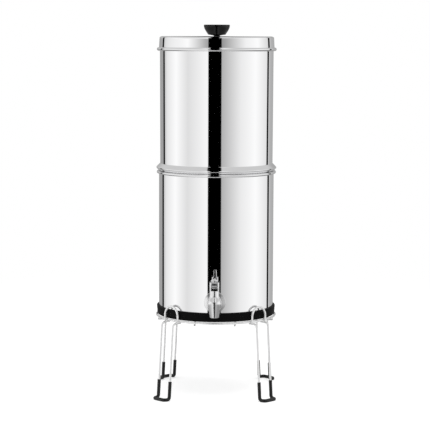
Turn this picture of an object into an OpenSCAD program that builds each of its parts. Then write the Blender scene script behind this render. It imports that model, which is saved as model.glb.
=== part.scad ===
// Gravity water filter: two stacked steel chambers with a tap, standing on a welded wire stand.
// Origin on the floor under the chambers' axis, +Z up, the tap faces -Y.

/* [Chambers] */
// Outer diameter of the lower chamber
lower_d = 216; // [180:1:240]
// Radial gap between the upper chamber and the inside of the lower one
nest_play = 1.3; // [0.6:0.1:3]
// How much wider the upper chamber is at its rim
upper_flare = 1.4; // [0:0.1:2]
// Sheet thickness of chambers and lid
wall = 1; // [0.6:0.1:1.6]
// Height of the lower chamber, from its floor to its rolled rim
lower_h = 269.4; // [220:0.1:320]
// Height of the upper chamber, from its floor to its rim
upper_h = 273.2; // [230:0.1:330]
// How far the upper chamber reaches down into the lower one
nest_depth = 24.7; // [20:0.1:40]
// Corner radius at the chambers' floors
floor_corner = 5; // [2:0.5:10]
// Diameter of the rolled rim bead of the lower chamber's section
rim_bead = 5.2; // [3:0.1:7]
// How far the shoulder of the upper chamber stands out past the lower one's rim
shoulder_past = 0.7; // [0:0.1:2]
// Height of the upright band under the shoulder
shoulder_band = 6.4; // [4:0.1:9]

/* [Lid] */
// Overall height of the lid
lid_h = 27.1; // [20:0.1:40]
// Clear gap between the lid's skirt and the upper chamber
lid_play = 0.6; // [0.5:0.1:3]
// Height of the rolled bead at the skirt's foot
lid_bead = 6.5; // [4:0.1:9]
// How far the skirt's bead stands out past the skirt
lid_bead_out = 4; // [2:0.1:6]
// Radius of the lid's top corner
lid_corner = 3; // [1.5:0.5:6]

/* [Knob] */
// Diameter of the knob at its top
knob_d = 48.7; // [36:0.1:60]
// Diameter of the knob at its foot
knob_foot_d = 34; // [20:0.1:40]
// Height of the knob's bowl
knob_h = 18.6; // [12:0.1:26]
// Diameter of the neck between lid and knob
knob_neck_d = 11.6; // [9:0.1:16]
// Height of the neck
knob_neck_h = 3; // [2:0.1:8]
// Diameter of the knob's screw
screw_d = 5; // [4:0.5:6]
// Length of screw thread inside the knob
screw_reach = 12; // [6:0.5:14]

/* [Base ring] */
// Thickness of the rubber base ring round the chamber, at its top
base_ring_t = 4; // [3:0.1:6]
// How much thinner the rubber base ring is at its bottom
base_ring_taper = 1; // [0:0.1:1.5]
// Height of the rubber base ring
base_ring_h = 16.5; // [10:0.5:24]
// Thickness of the ring's lip under the chamber
base_lip_t = 2; // [1:0.1:4]
// Width of the lip, inwards from the chamber's wall
base_lip_w = 10; // [6:0.5:20]

/* [Filter elements] */
// Distance of the elements and plugs from the axis
element_off = 48; // [44:0.5:56]
// Diameter of a carbon element
element_d = 66; // [50:0.5:72]
// Length of a carbon element
element_l = 190; // [120:1:210]
// Bore up the middle of a carbon element
element_bore = 14; // [8:0.5:24]
// Thickness of the end cap under an element
cap_t = 12; // [8:0.5:18]
// Diameter of the end cap
cap_d = 60; // [40:0.5:64]
// Diameter of the threaded stems of elements and plugs
stem_d = 12; // [8:0.5:16]
// Length of the threaded stem under the chamber's floor
stem_drop = 22; // [16:0.5:30]
// Water bore through a stem
stem_bore = 5; // [3:0.5:6]
// Diameter of the sealing washers
seal_d = 28; // [22:0.5:34]
// Thickness of the sealing washers
seal_t = 2.5; // [1.5:0.1:4]
// Hub diameter of the wing nuts
nut_hub_d = 20; // [18:0.5:24]
// Height of the wing nuts
nut_h = 9; // [6:0.5:12]
// Span of a wing nut over its wings
wing_span = 34; // [28:0.5:40]
// Thickness of the wings
wing_t = 3; // [2:0.1:5]
// Head diameter of the blanking plugs
plug_d = 24; // [20:0.5:32]
// Head height of the blanking plugs
plug_h = 7; // [4:0.5:12]

/* [Tap] */
// Gap between the top of the base ring and the tap's flange
flange_gap = 0.75; // [0.5:0.05:20]
// Distance of the spout's axis in front of the chamber's wall
tap_reach = 34; // [30:0.5:45]
// Shank diameter
shank_d = 15.8; // [14:0.1:18]
// Water bore of the shank
shank_bore = 9; // [6:0.5:10]
// Length of shank inside the chamber
shank_in = 19; // [14:0.5:26]
// Diameter of the barrel between flange and bulb
barrel_d = 17; // [16:0.5:20]
// Diameter of the round flange on the chamber's wall
flange_d = 39.5; // [32:0.5:44]
// Thickness of the flange
flange_t = 3; // [2:0.1:5]
// Outer washer thickness at its thinnest
tap_washer_t = 1.2; // [0.8:0.1:3]
// Outer diameter of the tap washers
tap_washer_d = 32; // [28:0.5:34]
// Inner washer thickness at its thinnest
inner_washer_t = 2; // [1:0.1:3]
// Size of the backing nut across its flats
backnut_af = 24; // [22:0.5:28]
// Thickness of the backing nut
backnut_t = 6; // [4:0.5:8]
// Greatest diameter of the bulb
bulb_d = 26; // [22:0.2:30]
// Diameter of the neck above the bulb
neck_d = 17.2; // [16:0.2:19]
// Diameter of the spout's mouth
mouth_d = 17; // [14:0.2:20]
// Spout mouth below the shank's axis
mouth_drop = 22.5; // [18:0.5:30]
// Widest point of the bulb above the shank's axis
bulb_rise = 4; // [2:0.5:6]
// Top of the body above the shank's axis
body_rise = 27; // [24:0.5:32]
// Bore of the outlet
outlet_bore = 10; // [6:0.5:11]
// Diameter of the valve chamber
chamber_bore = 13.2; // [12.8:0.1:13.6]
// Valve seat below the shank's axis
seat_drop = 8; // [7:0.5:12]

/* [Tap top] */
// Width of the bonnet block, across the tap
block_w = 17; // [16:0.1:18]
// Depth of the bonnet block, along the lever
block_l = 19; // [18:0.5:22]
// Height of the bonnet block
block_h = 16; // [14:0.5:20]
// Length of the bonnet's plug inside the body
plug_in = 8; // [6:0.5:10]
// Width of the lever
lever_w = 11.4; // [10:0.1:12]
// Thickness of the lever
lever_t = 4; // [3:0.1:5]
// Length of the lever from its pin to its tip
lever_l = 28; // [20:0.5:44]
// Upward slope of the lever when the tap is shut
lever_slope = 32; // [25:1:45]
// Diameter of the lever's pin
pin_d = 3; // [2.5:0.1:3.5]
// Gap between the lever's pin axis and the stem's head
head_gap = 2.7; // [2.7:0.1:3.5]
// Diameter of the valve stem
rod_d = 4; // [3:0.1:4.4]
// How far the stem's head reaches over each prong of the lever's fork
head_lap = 1; // [0.8:0.1:1.4]
// Height of the silicone seat cup
cup_h = 7.5; // [6:0.1:9]
// Radial gap between the silicone seat cup and the valve chamber
cup_play = 0.6; // [0.4:0.1:1.2]
// Wire of the return spring
spring_wire = 0.9; // [0.6:0.1:1.2]
// Mean diameter of the return spring
spring_d = 7.4; // [6.6:0.1:8]
// Turns of the return spring
spring_turns = 6; // [4:1:9]

/* [Stand] */
// Top of the stand's ring above the floor
stand_h = 148.7; // [100:0.1:200]
// How far the centre of the stand's ring lies outside the foot of the base ring
ring_out = 1; // [0:0.1:2]
// Wire diameter
wire_d = 4; // [3:0.1:6]
// How far two welded wires sink into each other
weld_sink = 0.4; // [0.1:0.05:0.6]
// Spacing of the two bars that run front to back
bar_gap_x = 74; // [60:1:90]
// Spacing of the two bars that run side to side
bar_gap_y = 82; // [60:1:90]
// How far the bars reach past the ring's centreline
bar_past = 4; // [2:0.5:8]
// Angle of the front legs from the tap's direction
leg_angle = 45; // [40:1:50]
// Spacing of a leg's two wires, centre to centre
leg_gap = 30; // [24:1:40]
// Where a leg turns down, outside the ring's centreline
leg_out = 12; // [10:0.5:16]
// How far a leg leans out from its top to the floor
leg_splay = 9.5; // [0:0.5:16]
// How far a leg's top reaches in past the ring's centreline
leg_in = 7; // [4:0.5:12]
// Bend radius at a leg's top
leg_bend = 8; // [5:0.5:9]
// Straight stretch between the two bends of a foot
foot_run = 0.5; // [0.2:0.1:8]
// Bend radius at the foot
foot_bend = 5; // [4:0.1:6]
// Corner radius of the foot bar
foot_corner = 6.5; // [4.5:0.1:7]
// Outer diameter of the rubber foot sleeves
sleeve_d = 6.4; // [5.6:0.1:9]
// Height of the rubber foot sleeves
sleeve_h = 36; // [20:1:60]
// Depth of the flat that each foot stands on
foot_flat = 0.3; // [0.2:0.05:0.5]
// Spacing of a retaining arch's two ends, centre to centre
arch_gap = 34; // [26:1:44]
// Top of the arches above the ring's top
arch_rise = 26.3; // [22:0.1:40]

/* [Fits] */
// Gap between pieces that rest on each other and lift apart
seat_gap = 0.3; // [0.2:0.05:0.5]
// Radial clearance of pins and of pieces that are fixed to each other
fit = 0.05; // [0.03:0.01:0.08]
// Radial clearance of screws and stems in their holes
hole_play = 0.25; // [0.15:0.05:0.5]
// Clearance around the lever in its slot
lever_play = 0.3; // [0.2:0.05:0.4]

/* [Hidden] */
$fn = 96;
eps = 0.01;
wire_sides = 12;
bend_steps = 5;

// Heights, from the floor up
ring_z = stand_h - wire_d / 2;
under_z = ring_z - wire_d + weld_sink;
band_z = stand_h + seat_gap;
lower_z = band_z + base_lip_t + fit;
lower_rim_z = lower_z + lower_h;
collar_z = lower_rim_z + seat_gap;
upper_z = collar_z - nest_depth;
upper_floor_z = upper_z + wall;
upper_rim_z = upper_z + upper_h;

// Radii
lower_r = lower_d / 2;
upper_r = lower_r - wall - nest_play;
upper_top_r = upper_r + upper_flare / 2;
skirt_r = upper_top_r + lid_play + wall;
rim_r = rim_bead / 2;
collar_r = lower_r - wall + rim_bead + shoulder_past;
shoulder_out = collar_r - upper_r;
base_ring_r = lower_r + base_ring_t;
base_foot_r = base_ring_r - base_ring_taper;
ring_r = base_foot_r + ring_out;

// The lid's inner corner rests on the outer edge of the upper chamber's rim
corner_in = lid_corner - wall;
corner_x = max(0, corner_in - lid_play);
rim_drop = corner_in - sqrt(pow(corner_in - seat_gap, 2) - pow(corner_x, 2));
lid_under_z = upper_rim_z + rim_drop;
lid_top_z = lid_under_z + wall;
lid_foot_z = lid_top_z - lid_h;
knob_z = lid_top_z + knob_neck_h;

// Tap places
shank_z = band_z + base_ring_h + flange_gap + flange_d / 2;
tap_y = -lower_r - tap_reach;
flange_y = -lower_r - tap_washer_t;
inner_washer_y = -sqrt(pow(lower_r - wall, 2) - pow(tap_washer_d / 2, 2)) + inner_washer_t;
seat_z = shank_z - seat_drop;
mouth_z = shank_z - mouth_drop;
bulb_z = shank_z + bulb_rise;
body_top_z = shank_z + body_rise;
neck_z = body_top_z - plug_in;
fork_gap = rod_d + 2 * lever_play;
rod_head_d = fork_gap + 2 * head_lap;
pin_off = rod_head_d / 2 + head_gap;
pin_y = tap_y - pin_off;
cup_d = chamber_bore - 2 * cup_play;
hub_wall = 1.5;
hub_r = pin_d / 2 + hub_wall;
slot_floor_t = 4;
slot_z = body_top_z + slot_floor_t;
hub_lift = 2;
pin_z = slot_z + hub_r + hub_lift;
fork_r = 1.5;
prong_t = 2.4;
cup_z = seat_z + seat_gap;
cup_top_z = cup_z + cup_h;
rod_in_cup = 5;
collar_t = 1.5;
collar_past = 0.3;
head_z = pin_z + fork_r + seat_gap;
head_t = 2;

// Stand places
foot_z = sleeve_d / 2 - foot_flat;
leg_top_r = ring_r + leg_out;
leg_foot_r = leg_top_r + leg_splay;
foot_out = foot_bend + foot_corner + foot_run;
bar_r = leg_foot_r + foot_out;
arch_end_r = ring_r + wire_d - weld_sink;
arch_u = sqrt(pow(arch_end_r, 2) - pow(arch_gap / 2, 2));
arch_top_z = stand_h + arch_rise - wire_d / 2;
// Where the legs stand, from +X: front right, back right, back left, front left
leg_turns = [leg_angle - 90, 90 - leg_angle, 90 + leg_angle, -90 - leg_angle];

// Knob fastening
knob_washer_t = 1;
screw_head_h = 2.6;
screw_head_d = 1.8 * screw_d;
screw_slot = 1;
washer_width = 2.8;

// How far each wing nut is turned from the line through the two elements
nut_turn = 35;
// How far a nut's wings stay below its top face
wing_drop = 1;

function unit(v) = v / norm(v);
function arc_points(c, r, a0, a1, n = 8) =
    [for (i = [0:n]) c + r * [cos(a0 + (a1 - a0) * i / n), sin(a0 + (a1 - a0) * i / n)]];
function ease(t) = (1 - cos(180 * t)) / 2;
// A radius that eases from one station [height, radius] to the next
function eased(a, b, n) =
    [for (i = [1:n]) [a[1] + (b[1] - a[1]) * ease(i / n), a[0] + (b[0] - a[0]) * i / n]];
// A radius that swells almost evenly from one station and levels off at the next
function swelling(a, b, n) =
    [for (i = [1:n]) [b[1] - (b[1] - a[1]) * pow(1 - i / n, 1.25), a[0] + (b[0] - a[0]) * i / n]];

// Turns vector v about the unit axis k
function turned(v, k, a) = v * cos(a) + cross(k, v) * sin(a) + k * (k * v) * (1 - cos(a));

// Frames [place, direction, side] along a wire's corner points, with an arc at each corner
function wire_frames(points, bends, side, i = 0) =
    let (d0 = unit(points[i + 1] - points[i]))
    i == len(points) - 2 ? [[points[i + 1], d0, side]] :
    let (d1 = unit(points[i + 2] - points[i + 1]),
         angle = acos(d0 * d1),
         axis = unit(cross(d0, d1)),
         inward = unit(d1 - (d0 * d1) * d0),
         centre = points[i + 1] - d0 * bends[i] * tan(angle / 2) + inward * bends[i])
    concat(i == 0 ? [[points[0], d0, side]] : [],
           [for (j = [0:bend_steps]) let (t = angle * j / bend_steps)
               [centre - turned(inward, axis, t) * bends[i], turned(d0, axis, t),
                turned(side, axis, t)]],
           wire_frames(points, bends, turned(side, axis, angle), i + 1));

function ring_points(frames, d, sides) =
    [for (f = frames, k = [0:sides - 1]) let (a = 360 * k / sides)
        f[0] + d / 2 * (cos(a) * f[2] + sin(a) * cross(f[1], f[2]))];
function skin(rings, sides, from, flip) =
    [for (i = [0:rings - 2], k = [0:sides - 1])
        let (a = from + i * sides + k, b = from + i * sides + (k + 1) % sides)
        each flip ? [[a, b + sides, a + sides], [a, b, b + sides]]
                  : [[a, a + sides, b + sides], [a, b + sides, b]]];

// A round wire or tube along frames, with an optional bore
module swept(frames, d, bore = 0, sides = wire_sides) {
    rings = len(frames);
    count = rings * sides;
    last = count - sides;
    if (bore == 0) polyhedron(ring_points(frames, d, sides), concat(
        skin(rings, sides, 0, false),
        [[for (k = [0:sides - 1]) k], [for (k = [sides - 1:-1:0]) last + k]]
    ));
    else polyhedron(concat(ring_points(frames, d, sides), ring_points(frames, bore, sides)), concat(
        skin(rings, sides, 0, false),
        skin(rings, sides, count, true),
        [for (k = [0:sides - 1]) let (j = (k + 1) % sides)
            each [[k, j, count + j], [k, count + j, count + k],
                  [last + k, last + count + j, last + j],
                  [last + k, last + count + k, last + count + j]]]
    ));
}

// A round solid that lies along Y, from y0 towards the tap's front by len
module along_y(y0, z0, d, len) {
    translate([0, y0, z0]) rotate([90, 0, 0]) cylinder(h = len, d = d);
}

module lower_chamber() color("silver") {
    difference() {
        union() {
            rotate_extrude() polygon(concat(
                [[0, lower_z]],
                arc_points([lower_r - floor_corner, lower_z + floor_corner], floor_corner, -90, 0),
                [[lower_r, lower_rim_z - rim_r], [lower_r - wall, lower_rim_z - rim_r]],
                arc_points([lower_r - floor_corner, lower_z + floor_corner], floor_corner - wall,
                           0, -90),
                [[0, lower_z + wall]]
            ));
            rotate_extrude() difference() {
                translate([lower_r - wall + rim_r, lower_rim_z - rim_r]) circle(r = rim_r);
                translate([lower_r - wall + rim_r, lower_rim_z - rim_r]) circle(r = rim_r - wall);
            }
        }
        along_y(0, shank_z, shank_d + 2 * hole_play, lower_r + wall);
    }
}

module base_ring() color("#141414") {
    top_z = band_z + base_ring_h;
    round_r = 1.2;
    rotate_extrude() polygon(concat(
        [[lower_r - base_lip_w, band_z]],
        arc_points([base_foot_r - round_r, band_z + round_r], round_r, -90, 0, 4),
        arc_points([base_ring_r - round_r, top_z - round_r], round_r, 0, 90, 4),
        [[lower_r + fit, top_z], [lower_r + fit, band_z + base_lip_t],
         [lower_r - base_lip_w, band_z + base_lip_t]]
    ));
}

module upper_chamber() color("silver") {
    band_top_z = collar_z + shoulder_band;
    cone_top_z = band_top_z + shoulder_out;
    round_r = 1;
    difference() {
        rotate_extrude() polygon(concat(
            [[0, upper_z]],
            arc_points([upper_r - floor_corner, upper_z + floor_corner], floor_corner, -90, 0),
            [[upper_r, collar_z]],
            arc_points([collar_r - round_r, collar_z + round_r], round_r, -90, 0, 4),
            [[collar_r, band_top_z], [upper_r, cone_top_z],
             [upper_top_r, upper_rim_z], [upper_top_r - wall, upper_rim_z],
             [upper_r - wall, cone_top_z], [collar_r - wall, band_top_z],
             [collar_r - wall, collar_z + wall], [upper_r - wall, collar_z + wall]],
            arc_points([upper_r - floor_corner, upper_z + floor_corner], floor_corner - wall,
                       0, -90),
            [[0, upper_floor_z]]
        ));
        for (a = [0:90:270]) rotate(a) translate([element_off, 0, upper_z - wall])
            cylinder(h = 3 * wall, d = stem_d + 2 * hole_play);
    }
}

module lid_shell() color("silver") {
    bead_c = [skirt_r + lid_bead_out - lid_bead / 2, lid_foot_z + lid_bead / 2];
    difference() {
        union() {
            rotate_extrude() polygon(concat(
                [[0, lid_under_z], [skirt_r - lid_corner, lid_under_z]],
                arc_points([skirt_r - lid_corner, lid_top_z - lid_corner], corner_in, 90, 0),
                [[skirt_r - wall, lid_foot_z + lid_bead / 2], [skirt_r, lid_foot_z + lid_bead / 2]],
                arc_points([skirt_r - lid_corner, lid_top_z - lid_corner], lid_corner, 0, 90),
                [[0, lid_top_z]]
            ));
            rotate_extrude() difference() {
                translate(bead_c) circle(d = lid_bead);
                square([skirt_r - wall, lid_top_z]);
            }
        }
        translate([0, 0, lid_under_z - wall]) cylinder(h = 3 * wall, d = screw_d + 2 * hole_play);
    }
}

module lid_knob() color("#161616") {
    neck_r = knob_neck_d / 2;
    foot_r = knob_foot_d / 2;
    top_r = knob_d / 2;
    edge = 1.2;
    tip_play = 1;
    flare = top_r - edge - foot_r;
    rise = knob_h - 2 * edge;
    difference() {
        rotate_extrude() polygon(concat(
            [[0, lid_top_z], [neck_r, lid_top_z], [neck_r, knob_z]],
            arc_points([foot_r - edge, knob_z + edge], edge, -90, -30, 3),
            [for (i = [1:10]) [foot_r + flare * sin(9 * i), knob_z + edge + rise * i / 10]],
            arc_points([top_r - edge, knob_z + knob_h - edge], edge, 0, 90, 4),
            [[0, knob_z + knob_h]]
        ));
        translate([0, 0, lid_top_z - eps])
            cylinder(h = knob_neck_h + screw_reach + tip_play, d = screw_d + 2 * fit);
    }
}

// A slotted screw whose head bears on the washer under the lid
module knob_screw() color("gainsboro") {
    translate([0, 0, lid_under_z - knob_washer_t]) difference() {
        union() {
            cylinder(h = knob_washer_t + wall + knob_neck_h + screw_reach, d = screw_d);
            translate([0, 0, -screw_head_h]) cylinder(h = screw_head_h, d = screw_head_d);
        }
        translate([-screw_head_d, -screw_slot / 2, -screw_head_h - screw_slot])
            cube([2 * screw_head_d, screw_slot, 2 * screw_slot]);
    }
}

module knob_washer() color("#202020")
    translate([0, 0, lid_under_z - knob_washer_t]) difference() {
        cylinder(h = knob_washer_t, d = washer_width * screw_d);
        translate([0, 0, -wall]) cylinder(h = knob_washer_t + 2 * wall, d = screw_d + 2 * fit);
    }

module filter_block(side) color("#1c1c1c") {
    dome = 3;
    block_z = upper_floor_z + seal_t + cap_t;
    translate([side * element_off, 0, block_z]) rotate_extrude() polygon(concat(
        [[element_bore / 2, 0], [element_d / 2, 0]],
        arc_points([element_d / 2 - dome, element_l - dome], dome, 0, 90),
        [[0, element_l], [0, element_l - element_bore], [element_bore / 2, element_l - element_bore]]
    ));
}

module filter_cap(side) color("#262626") {
    stem_z = upper_z - stem_drop;
    cap_z = upper_floor_z + seal_t;
    translate([side * element_off, 0, 0]) difference() {
        union() {
            translate([0, 0, cap_z]) cylinder(h = cap_t, d = cap_d);
            translate([0, 0, stem_z]) cylinder(h = cap_z - stem_z + eps, d = stem_d);
        }
        translate([0, 0, stem_z - wall]) cylinder(h = cap_z + cap_t - stem_z + 2 * wall, d = stem_bore);
    }
}

// A sealing washer on the upper chamber's floor
module seal() {
    translate([0, 0, upper_floor_z]) difference() {
        cylinder(h = seal_t, d = seal_d);
        translate([0, 0, -wall]) cylinder(h = seal_t + 2 * wall, d = stem_d + 2 * fit);
    }
}

// A wing nut under the upper chamber's floor
module wing_nut(turn) {
    wing_h = nut_h - wing_drop;
    translate([0, 0, upper_z - nut_h]) rotate(turn) difference() {
        union() {
            cylinder(h = nut_h, d = nut_hub_d);
            intersection() {
                translate([-wing_span / 2, -wing_t / 2, 0]) cube([wing_span, wing_t, wing_h]);
                cylinder(h = wing_h, d = wing_span);
            }
        }
        translate([0, 0, -wall]) cylinder(h = nut_h + 2 * wall, d = stem_d + 2 * fit);
    }
}

module filter_seals() color("#d8d8d4")
    for (side = [-1, 1]) translate([side * element_off, 0, 0]) seal();

module filter_wing_nuts() color("#e8e8e4")
    for (side = [-1, 1]) translate([side * element_off, 0, 0]) wing_nut(nut_turn);

module blanking_plugs() color("#262626") {
    stem_z = upper_z - stem_drop;
    plug_z = upper_floor_z + seal_t;
    for (side = [-1, 1]) translate([0, side * element_off, 0]) {
        translate([0, 0, plug_z]) cylinder(h = plug_h, d = plug_d);
        translate([0, 0, stem_z]) cylinder(h = plug_z - stem_z + eps, d = stem_d);
    }
}

module plug_seals() color("#d8d8d4")
    for (side = [-1, 1]) translate([0, side * element_off, 0]) seal();

module plug_wing_nuts() color("#e8e8e4")
    for (side = [-1, 1]) translate([0, side * element_off, 0]) wing_nut(nut_turn + 90);

// A turned bulb and spout, one piece with the barrel and the threaded shank
module tap_body() color("gainsboro") {
    edge = 0.6;
    shank_l = -tap_y - (lower_r - wall - shank_in);
    difference() {
        union() {
            translate([0, tap_y, 0]) rotate_extrude() polygon(concat(
                [[0, mouth_z], [mouth_d / 2 - edge, mouth_z], [mouth_d / 2, mouth_z + edge]],
                swelling([mouth_z + edge, mouth_d / 2], [bulb_z, bulb_d / 2], 10),
                eased([bulb_z, bulb_d / 2], [neck_z, neck_d / 2], 8),
                [[neck_d / 2, body_top_z], [0, body_top_z]]
            ));
            translate([0, tap_y, shank_z]) rotate([-90, 0, 0]) {
                cylinder(h = shank_l, d = shank_d);
                cylinder(h = flange_y - flange_t - tap_y, d = barrel_d);
            }
        }
        translate([0, tap_y, mouth_z - edge])
            cylinder(h = seat_z - mouth_z + 2 * edge, d = outlet_bore);
        translate([0, tap_y, seat_z])
            cylinder(h = body_top_z - seat_z + edge, d = chamber_bore);
        translate([0, tap_y, shank_z]) rotate([-90, 0, 0])
            cylinder(h = shank_l + edge, d = shank_bore);
    }
}

module tap_flange() color("gainsboro") {
    rim_t = 0.8;
    round_r = flange_t - rim_t;
    translate([0, flange_y, shank_z]) rotate([90, 0, 0]) difference() {
        rotate_extrude() polygon(concat(
            [[0, 0], [flange_d / 2, 0], [flange_d / 2, rim_t]],
            arc_points([flange_d / 2 - round_r, flange_t - round_r], round_r, 0, 90, 6),
            [[0, flange_t]]
        ));
        translate([0, 0, -rim_t]) cylinder(h = flange_t + 2 * rim_t, d = shank_d + 2 * fit);
    }
}

// The washer is flat under the flange and hollow against the round chamber
module tap_outer_washer() color("#303030") {
    reach = tap_washer_d / 4;
    difference() {
        along_y(reach - lower_r, shank_z, tap_washer_d, reach + tap_washer_t);
        along_y(0, shank_z, shank_d + 2 * fit, 2 * lower_r);
        translate([0, 0, shank_z - tap_washer_d])
            cylinder(h = 2 * tap_washer_d, r = lower_r + fit, $fn = 256);
    }
}

module tap_inner_washer() color("#e4e4e0") {
    difference() {
        intersection() {
            along_y(inner_washer_y, shank_z, tap_washer_d, tap_washer_d);
            translate([0, 0, shank_z - tap_washer_d])
                cylinder(h = 2 * tap_washer_d, r = lower_r - wall - fit, $fn = 256);
        }
        along_y(0, shank_z, shank_d + 2 * fit, 2 * lower_r);
    }
}

module tap_backnut() color("gainsboro") {
    translate([0, inner_washer_y, shank_z]) rotate([-90, 0, 0]) difference() {
        cylinder(h = backnut_t, d = backnut_af / cos(30), $fn = 6);
        translate([0, 0, -wall]) cylinder(h = backnut_t + 2 * wall, d = shank_d + 2 * fit);
    }
}

module tap_bonnet() color("gainsboro") {
    edge = 2.5;
    slot_w = lever_w + 2 * lever_play;
    difference() {
        union() {
            translate([0, tap_y, neck_z]) cylinder(h = plug_in + eps, d = chamber_bore - 2 * fit);
            translate([0, tap_y, body_top_z]) linear_extrude(block_h) union() {
                square([block_w, block_l - 2 * edge], center = true);
                square([block_w - 2 * edge, block_l], center = true);
                for (x = [-1, 1], y = [-1, 1])
                    translate([x * (block_w / 2 - edge), y * (block_l / 2 - edge)]) circle(r = edge);
            }
        }
        translate([-slot_w / 2, tap_y - block_l, slot_z]) cube([slot_w, 2 * block_l, block_h]);
        translate([0, tap_y, neck_z - edge]) cylinder(h = block_h + plug_in, d = rod_d + 2 * fit);
        translate([-block_w, pin_y, pin_z]) rotate([0, 90, 0])
            cylinder(h = 2 * block_w, d = pin_d + 2 * fit);
    }
}

module lever_pin() color("silver") {
    pin_past = 0.3;
    translate([-block_w / 2 - pin_past, pin_y, pin_z]) rotate([0, 90, 0])
        cylinder(h = block_w + 2 * pin_past, d = pin_d);
}

// The lever is a sloping handle with a round end, a hub on the pin and a fork under the stem's head
module tap_lever() color("gainsboro") {
    prong_w = (lever_w - fork_gap) / 2;
    straight = lever_l - lever_w / 2;
    translate([0, pin_y, pin_z]) difference() {
        union() {
            rotate([-lever_slope, 0, 0]) translate([0, 0, -lever_t / 2]) linear_extrude(lever_t)
                union() {
                    translate([0, -straight]) circle(d = lever_w);
                    translate([-lever_w / 2, -straight]) square([lever_w, straight]);
                }
            translate([-lever_w / 2, 0, 0]) rotate([0, 90, 0]) cylinder(h = lever_w, r = hub_r);
            for (x = [-lever_w / 2, fork_gap / 2]) translate([x, 0, 0]) {
                translate([0, 0, -prong_t / 2]) cube([prong_w, pin_off, prong_t]);
                translate([0, pin_off, 0]) rotate([0, 90, 0]) cylinder(h = prong_w, r = fork_r);
            }
        }
        translate([-lever_w, 0, 0]) rotate([0, 90, 0])
            cylinder(h = 2 * lever_w, d = pin_d + 2 * fit);
        translate([-fork_gap / 2, pin_off - rod_d / 2 - lever_play, -hub_r])
            cube([fork_gap, hub_r + rod_d, 2 * hub_r]);
    }
}

// The stem carries the spring on its collar and the seat cup on its foot
module valve_stem() color("silver") {
    rod_z = cup_top_z - rod_in_cup;
    collar_d = spring_d + spring_wire + 2 * collar_past;
    translate([0, tap_y, 0]) {
        translate([0, 0, rod_z]) cylinder(h = head_z - rod_z + head_t, d = rod_d);
        translate([0, 0, head_z]) cylinder(h = head_t, d = rod_head_d);
        translate([0, 0, cup_top_z]) cylinder(h = collar_t, d = collar_d);
    }
}

module seat_cup() color("#c9c9c4")
    translate([0, tap_y, 0]) difference() {
        translate([0, 0, cup_z]) cylinder(h = cup_h, d = cup_d);
        translate([0, 0, cup_top_z - rod_in_cup - fit]) cylinder(h = cup_h, d = rod_d + 2 * fit);
    }

// A compression spring as one wire swept up a helix
module return_spring() color("silver") {
    z0 = cup_top_z + collar_t + spring_wire / 2 + fit;
    z1 = neck_z - spring_wire / 2 - fit;
    steps = spring_turns * 12;
    rise = (z1 - z0) / (spring_turns * PI * spring_d);
    translate([0, tap_y, 0]) swept([for (i = [0:steps]) let (a = 360 * spring_turns * i / steps)
        [[spring_d / 2 * cos(a), spring_d / 2 * sin(a), z0 + (z1 - z0) * i / steps],
         unit([-sin(a), cos(a), rise]), [cos(a), sin(a), 0]]], spring_wire, sides = 6);
}

module stand_ring() color("gainsboro")
    translate([0, 0, ring_z]) rotate_extrude() translate([ring_r, 0]) circle(d = wire_d);

module bars_front_back() color("gainsboro") {
    half = sqrt(pow(ring_r, 2) - pow(bar_gap_x / 2, 2)) + bar_past;
    for (side = [-1, 1]) translate([side * bar_gap_x / 2, half, under_z]) rotate([90, 0, 0])
        cylinder(h = 2 * half, d = wire_d);
}

// These bars dip under the ring at their ends and cross over the other pair
module bars_side_side() color("gainsboro") {
    half = sqrt(pow(ring_r, 2) - pow(bar_gap_y / 2, 2)) + bar_past;
    over_z = under_z + wire_d - weld_sink;
    knee = half - bar_past - 2 * wire_d;
    dip = 2 * wire_d;
    for (y = [-1, 1] * bar_gap_y / 2) swept(wire_frames(
        [[-half, y, under_z], [-knee, y, under_z], [dip - knee, y, over_z],
         [knee - dip, y, over_z], [knee, y, under_z], [half, y, under_z]],
        [for (k = [1:4]) 2 * wire_d], [0, 1, 0]
    ), wire_d);
}

// The corner points of one leg, standing along +X
function leg_path() = [
    [ring_r - leg_in, leg_gap / 2, under_z], [leg_top_r, leg_gap / 2, under_z],
    [leg_foot_r, leg_gap / 2, foot_z], [bar_r, leg_gap / 2, foot_z],
    [bar_r, -leg_gap / 2, foot_z], [leg_foot_r, -leg_gap / 2, foot_z],
    [leg_top_r, -leg_gap / 2, under_z], [ring_r - leg_in, -leg_gap / 2, under_z]
];
leg_bends = [leg_bend, foot_bend, foot_corner, foot_corner, foot_bend, leg_bend];

module leg(i) color("gainsboro")
    rotate(leg_turns[i]) swept(wire_frames(leg_path(), leg_bends, [0, 1, 0]), wire_d);

// A rubber tube over the foot of a leg, cut flat where it stands
module foot(i) color("#1a1a1a") {
    path = leg_path();
    down = unit(path[2] - path[1]);
    top = path[2] + down * (sleeve_h - foot_z) / down[2];
    other = [top[0], -top[1], top[2]];
    frames = wire_frames([top, path[2], path[3], path[4], path[5], other],
                         [for (k = [1:4]) leg_bends[k]], [0, 1, 0]);
    rotate(leg_turns[i]) difference() {
        swept(frames, sleeve_d, wire_d + 2 * fit);
        translate([leg_foot_r - sleeve_d, -leg_gap, -sleeve_d])
            cube([foot_out + 3 * sleeve_d, 2 * leg_gap, sleeve_d]);
    }
}

// A bent wire that keeps the base ring from sliding, welded to the outside of the stand's ring
module arch(i) color("gainsboro") {
    half = arch_gap / 2;
    end_z = ring_z - wire_d / 4;
    rotate(leg_turns[i]) {
        for (side = [-1, 1]) translate([arch_u, side * half, end_z])
            cylinder(h = arch_top_z - half - end_z, d = wire_d);
        translate([arch_u, 0, arch_top_z - half]) rotate([90, 0, 90])
            rotate_extrude(angle = 180) translate([half, 0]) circle(d = wire_d);
    }
}

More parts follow.
